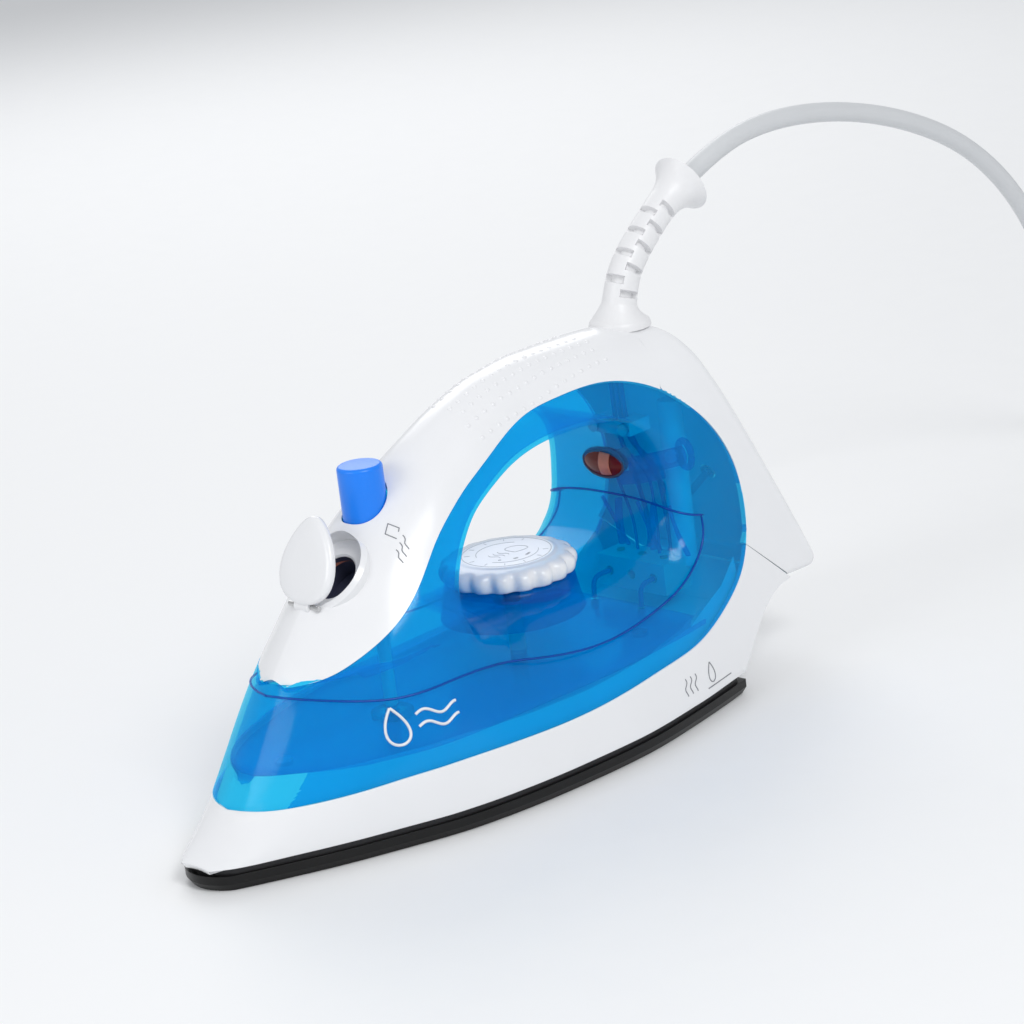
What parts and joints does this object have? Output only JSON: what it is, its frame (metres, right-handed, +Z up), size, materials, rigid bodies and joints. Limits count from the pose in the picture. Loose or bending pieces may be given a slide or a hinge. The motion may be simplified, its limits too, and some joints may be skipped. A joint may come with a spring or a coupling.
{
  "type": "steam iron",
  "caption": "Household steam iron with a see-through blue water tank, turning thermostat dial, sprung steam button, hinged filler lid and a coiled mains lead with plug.",
  "frame": {"origin": "bottom centre of the iron standing on its sole, without the mains lead", "axes": "-X to the nose, +X to the heel, +Y to the left hand side of the iron, +Z up"},
  "size_m": [0.7066, 0.1266, 0.1957],
  "materials": {
    "sole_coating": "dark non-stick coating with a bright bevel",
    "cast_aluminium": "die-cast, lightly satin",
    "steel": "plated steel",
    "brass": "turned brass",
    "seal_rubber": "silicone rubber",
    "ceramic": "steatite",
    "white_plastic": "glossy moulded white",
    "clear_blue": "see-through blue, polished",
    "solid_blue": "glossy moulded blue",
    "red_lens": "see-through red",
    "lamp_glass": "clear glass",
    "wire_cover": "insulated wire",
    "lead_rubber": "soft white mains lead"
  },
  "bodies": {
    "root": {"soleplate": "sole_coating", "sole_casting": "cast_aluminium", "heating_element": "steel", "heater_terminals": "steel", "chamber_gasket": "seal_rubber", "steam_chamber_cover": "cast_aluminium", "heat_shield": "cast_aluminium", "thermostat_base": "ceramic", "thermostat_blades": "brass", "thermal_fuse": "steel", "lower_skirt": "white_plastic", "water_tank_lower": "clear_blue", "water_tank_upper": "clear_blue", "handle_cover": "white_plastic", "rear_cover": "white_plastic", "steam_spring": "steel", "spring_seat": "white_plastic", "drip_nozzle": "brass", "nozzle_seal": "seal_rubber", "filler_seal": "seal_rubber", "filler_hinge_pin": "steel", "pilot_lens": "red_lens", "neon_lamp": "lamp_glass", "terminal_block": "ceramic", "terminal_screws": "brass", "mains_wires": "wire_cover", "heater_wires": "wire_cover", "lamp_leads": "wire_cover", "cord_clamp": "white_plastic", "clamp_screws": "steel", "rear_cover_screw": "steel", "sole_screws": "steel", "cord_boot": "lead_rubber", "power_cord": "lead_rubber", "cord_coil": "lead_rubber", "plug_body": "lead_rubber", "plug_pins": "brass"},
    "dial": {"thermostat_dial": "white_plastic", "thermostat_shaft": "ceramic", "dial_spring_washer": "steel"},
    "button": {"steam_button": "solid_blue", "steam_rod": "white_plastic"},
    "lid": {"filler_lid": "white_plastic"}
  },
  "joints": [
    {"name": "dial_turn", "type": "hinge", "parent": "root", "child": "dial", "pos_m": [0.0155, 0, 0.062], "axis": [0, 0, 1], "range_deg": [0, 270]},
    {"name": "button_press", "type": "slide", "parent": "root", "child": "button", "axis": [0, 0, -1], "range_m": [0, 0.004], "stiffness_N_per_m": 300, "springref_m": -0.002, "deforming": ["steam_spring"]},
    {"name": "lid_open", "type": "hinge", "parent": "root", "child": "lid", "pos_m": [-0.08, 0, 0.08038], "axis": [0, -1, 0], "range_deg": [-25, 70]}
  ]
}
